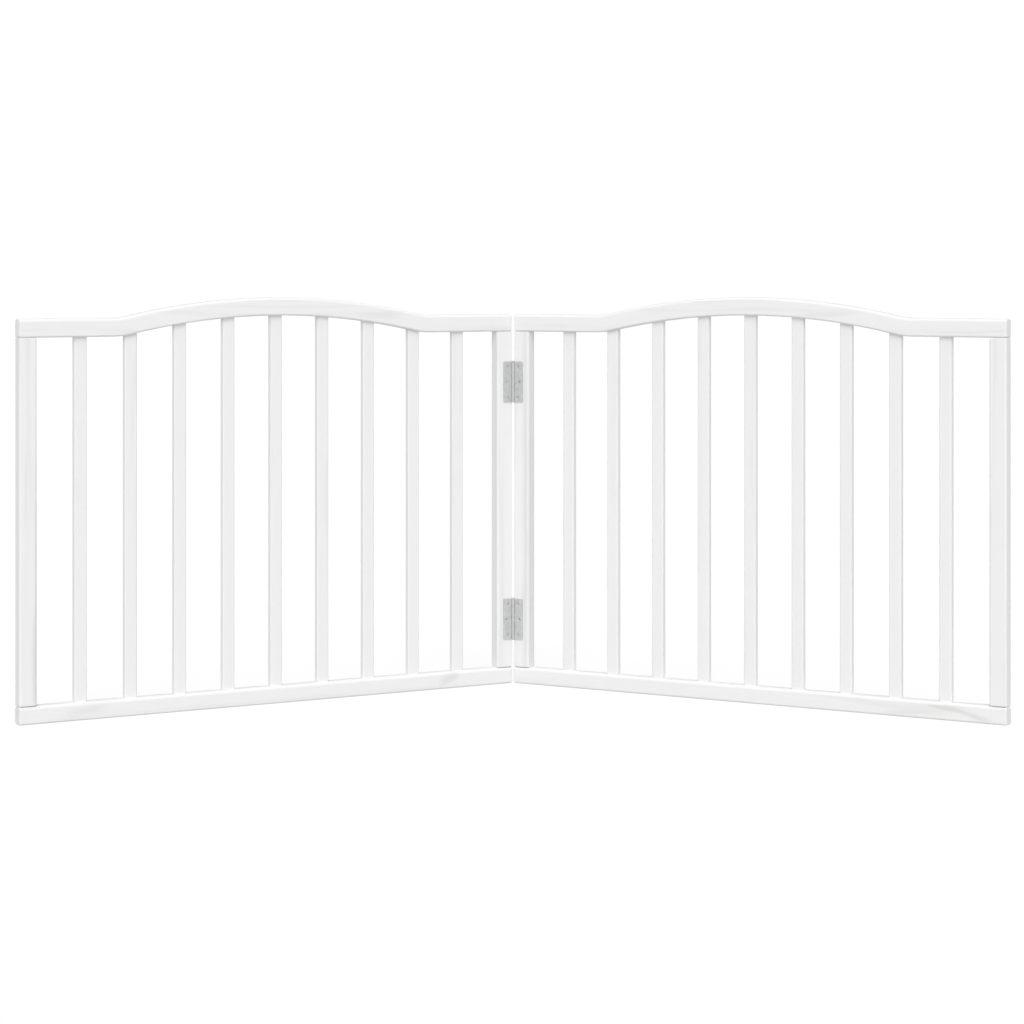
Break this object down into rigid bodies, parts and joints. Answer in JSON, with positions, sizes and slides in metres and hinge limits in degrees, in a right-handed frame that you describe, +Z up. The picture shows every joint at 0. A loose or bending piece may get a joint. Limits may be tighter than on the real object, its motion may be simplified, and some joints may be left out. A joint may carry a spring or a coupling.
{
  "type": "folding pet gate",
  "caption": "Free-standing folding pet gate: slatted white wooden panels with arched top rails, joined in a V by steel butt hinges.",
  "frame": {"origin": "on the floor, in the middle of the standing gate's outline", "axes": "+Z up, +X across the gate to the right as seen from the front, -Y towards the front, where the V opens"},
  "size_m": [1.4066, 0.4152, 0.601],
  "materials": {
    "painted_fir": "white satin paint over fir, with faint grain and knots showing through",
    "dowel_beech": "bare beech with light flutes",
    "hinge_steel": "zinc-plated pressed steel, satin",
    "screw_steel": "zinc-plated steel, satin, with cross recesses"
  },
  "bodies": {
    "left_panel": {"left_top_rail": "painted_fir", "left_bottom_rail": "painted_fir", "left_hinge_stile": "painted_fir", "left_outer_stile": "painted_fir", "left_slat_1": "painted_fir", "left_slat_2": "painted_fir", "left_slat_3": "painted_fir", "left_slat_4": "painted_fir", "left_slat_5": "painted_fir", "left_slat_6": "painted_fir", "left_slat_7": "painted_fir", "left_slat_8": "painted_fir", "left_slat_9": "painted_fir", "left_hinge_bottom_dowel_1": "dowel_beech", "left_hinge_bottom_dowel_2": "dowel_beech", "left_hinge_top_dowel_1": "dowel_beech", "left_hinge_top_dowel_2": "dowel_beech", "left_outer_bottom_dowel_1": "dowel_beech", "left_outer_bottom_dowel_2": "dowel_beech", "left_outer_top_dowel_1": "dowel_beech", "left_outer_top_dowel_2": "dowel_beech", "upper_hinge_left_leaf": "hinge_steel", "upper_hinge_left_screw_1": "screw_steel", "upper_hinge_left_screw_2": "screw_steel", "upper_hinge_left_screw_3": "screw_steel", "lower_hinge_left_leaf": "hinge_steel", "lower_hinge_left_screw_1": "screw_steel", "lower_hinge_left_screw_2": "screw_steel", "lower_hinge_left_screw_3": "screw_steel"},
    "right_panel": {"right_top_rail": "painted_fir", "right_bottom_rail": "painted_fir", "right_hinge_stile": "painted_fir", "right_outer_stile": "painted_fir", "right_slat_1": "painted_fir", "right_slat_2": "painted_fir", "right_slat_3": "painted_fir", "right_slat_4": "painted_fir", "right_slat_5": "painted_fir", "right_slat_6": "painted_fir", "right_slat_7": "painted_fir", "right_slat_8": "painted_fir", "right_slat_9": "painted_fir", "right_hinge_bottom_dowel_1": "dowel_beech", "right_hinge_bottom_dowel_2": "dowel_beech", "right_hinge_top_dowel_1": "dowel_beech", "right_hinge_top_dowel_2": "dowel_beech", "right_outer_bottom_dowel_1": "dowel_beech", "right_outer_bottom_dowel_2": "dowel_beech", "right_outer_top_dowel_1": "dowel_beech", "right_outer_top_dowel_2": "dowel_beech", "upper_hinge_right_leaf": "hinge_steel", "upper_hinge_right_screw_1": "screw_steel", "upper_hinge_right_screw_2": "screw_steel", "upper_hinge_right_screw_3": "screw_steel", "lower_hinge_right_leaf": "hinge_steel", "lower_hinge_right_screw_1": "screw_steel", "lower_hinge_right_screw_2": "screw_steel", "lower_hinge_right_screw_3": "screw_steel", "upper_hinge_pin": "hinge_steel", "lower_hinge_pin": "hinge_steel"}
  },
  "joints": [
    {"name": "panel_fold", "type": "hinge", "parent": "left_panel", "child": "right_panel", "pos_m": [0, 0.18968, 0.284], "axis": [0, 0, 1], "range_deg": [-120, 60]}
  ]
}
